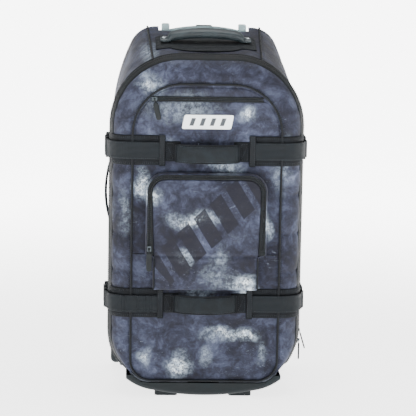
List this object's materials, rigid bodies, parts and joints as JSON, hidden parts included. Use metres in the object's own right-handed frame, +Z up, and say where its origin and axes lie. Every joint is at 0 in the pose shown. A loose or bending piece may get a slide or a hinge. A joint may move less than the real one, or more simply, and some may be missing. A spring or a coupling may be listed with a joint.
{
  "type": "rolling duffel bag",
  "caption": "Upright soft wheeled duffel with an arched zip lid, front pockets, strap bands with buckles, carry handles and a telescoping trolley handle.",
  "frame": {"origin": "centre of the bag's footprint box, on the floor", "axes": "+X to the bag's right as seen from the front, +Y from the front towards the trolley handle, +Z up"},
  "size_m": [0.4521, 0.378, 0.8091],
  "materials": {
    "print_fabric": "acid-washed printed polyester canvas, matte",
    "black_fabric": "black polyester canvas and piping, matte",
    "webbing": "black ribbed polyester webbing",
    "lining": "grey nylon lining over a stiff board",
    "zip": "black coil zip on tape",
    "zip_metal": "gunmetal enamel",
    "pull_rubber": "black moulded rubber",
    "base_plastic": "dark grey moulded polyethylene",
    "buckle_plastic": "black acetal",
    "handle_rubber": "dark grey ribbed rubber",
    "badge": "white rubberised plate",
    "tube_alloy": "satin anodised tube",
    "grip_silver": "silver painted plastic",
    "steel": "zinc plated steel",
    "tyre": "black polyurethane tread",
    "hub_plastic": "dark grey nylon"
  },
  "bodies": {
    "bag": {"back_liner": "lining", "back_panel": "black_fabric", "base_guard": "base_plastic", "base_screws": "steel", "body_piping": "black_fabric", "bottom_panel": "black_fabric", "buckle_sockets": "buckle_plastic", "frame_hoop": "steel", "front_feet": "base_plastic", "handle_bezel": "base_plastic", "left_gusset": "print_fabric", "left_wheel_housing": "base_plastic", "main_zip_body_side": "zip", "outer_tubes": "tube_alloy", "rear_straps": "webbing", "right_gusset": "print_fabric", "right_pull_tab": "webbing", "right_wheel_housing": "base_plastic", "side_handle": "webbing", "skid_rails": "base_plastic", "top_handle_base": "webbing", "top_handle_grip": "handle_rubber", "top_handle_rivets": "steel", "top_panel": "print_fabric", "tube_bracket": "base_plastic", "wheel_axles": "steel"},
    "lid": {"lid_shell": "print_fabric", "front_piping": "black_fabric", "upper_pocket": "print_fabric", "upper_pocket_zip": "zip", "badge": "badge", "pocket_frame": "print_fabric", "pocket_zip": "zip", "strap_bands": "black_fabric", "front_straps": "webbing", "strap_bindings": "webbing", "buckle_plugs": "buckle_plastic", "front_handle_grips": "webbing", "main_zip_lid_side": "zip"},
    "pocket_flap": {"pocket_flap": "print_fabric"},
    "upper_pocket_slider": {"upper_pocket_slider": "zip_metal"},
    "upper_pocket_pull": {"upper_pocket_pull": "pull_rubber"},
    "pocket_slider": {"pocket_slider": "zip_metal"},
    "pocket_pull": {"pocket_pull": "pull_rubber"},
    "main_upper_slider": {"main_upper_slider": "zip_metal"},
    "main_upper_pull": {"main_upper_pull": "pull_rubber"},
    "main_lower_slider": {"main_lower_slider": "zip_metal"},
    "main_lower_pull": {"main_lower_pull": "pull_rubber"},
    "trolley": {"inner_tubes": "tube_alloy", "tube_glides": "buckle_plastic", "trolley_grip": "grip_silver", "button_spring": "steel"},
    "button": {"release_button": "buckle_plastic", "release_rods": "steel"},
    "left_wheel": {"left_tyre": "tyre", "left_hub": "hub_plastic", "left_bearings": "steel"},
    "right_wheel": {"right_tyre": "tyre", "right_hub": "hub_plastic", "right_bearings": "steel"}
  },
  "joints": [
    {"name": "lid_fold", "type": "hinge", "parent": "bag", "child": "lid", "pos_m": [0, -0.157, 0.0378], "axis": [1, 0, 0], "range_deg": [0, 85]},
    {"name": "pocket_flap_fold", "type": "hinge", "parent": "lid", "child": "pocket_flap", "pos_m": [0, -0.1813, 0.3212], "axis": [1, 0, 0], "range_deg": [0, 100]},
    {"name": "upper_pocket_zip_slide", "type": "slide", "parent": "lid", "child": "upper_pocket_slider", "axis": [1, 0, 0], "range_m": [0, 0.222]},
    {"name": "upper_pocket_pull_swing", "type": "hinge", "parent": "upper_pocket_slider", "child": "upper_pocket_pull", "pos_m": [-0.116, -0.1619, 0.661], "axis": [-1, 0, 0], "range_deg": [0, 150]},
    {"name": "pocket_zip_slide", "type": "slide", "parent": "lid", "child": "pocket_slider", "axis": [0, 0, 1], "range_m": [0, 0.115]},
    {"name": "pocket_pull_swing", "type": "hinge", "parent": "pocket_slider", "child": "pocket_pull", "pos_m": [-0.1238, -0.1856, 0.336], "axis": [-1, 0, 0], "range_deg": [0, 150]},
    {"name": "main_upper_zip_slide", "type": "slide", "parent": "bag", "child": "main_upper_slider", "axis": [0, 0, 1], "range_m": [0, 0.03]},
    {"name": "main_upper_pull_swing", "type": "hinge", "parent": "main_upper_slider", "child": "main_upper_pull", "pos_m": [0.2147, -0.096, 0.142], "axis": [0, -1, 0], "range_deg": [0, 130]},
    {"name": "main_lower_zip_slide", "type": "slide", "parent": "bag", "child": "main_lower_slider", "axis": [0, 0, 1], "range_m": [0, 0.008]},
    {"name": "main_lower_pull_swing", "type": "hinge", "parent": "main_lower_slider", "child": "main_lower_pull", "pos_m": [0.2147, -0.096, 0.119], "axis": [0, -1, 0], "range_deg": [0, 18]},
    {"name": "trolley_slide", "type": "slide", "parent": "bag", "child": "trolley", "axis": [0, 0, 1], "range_m": [0, 0.36]},
    {"name": "release_button_press", "type": "slide", "parent": "trolley", "child": "button", "axis": [0, 0, -1], "range_m": [0, 0.004], "stiffness_N_per_m": 500, "springref_m": -0.004, "deforming": ["button_spring"]},
    {"name": "left_wheel_spin", "type": "hinge", "parent": "bag", "child": "left_wheel", "pos_m": [-0.172, 0.146, 0.042], "axis": [1, 0, 0], "continuous": true},
    {"name": "right_wheel_spin", "type": "hinge", "parent": "bag", "child": "right_wheel", "pos_m": [0.172, 0.146, 0.042], "axis": [1, 0, 0], "continuous": true}
  ]
}
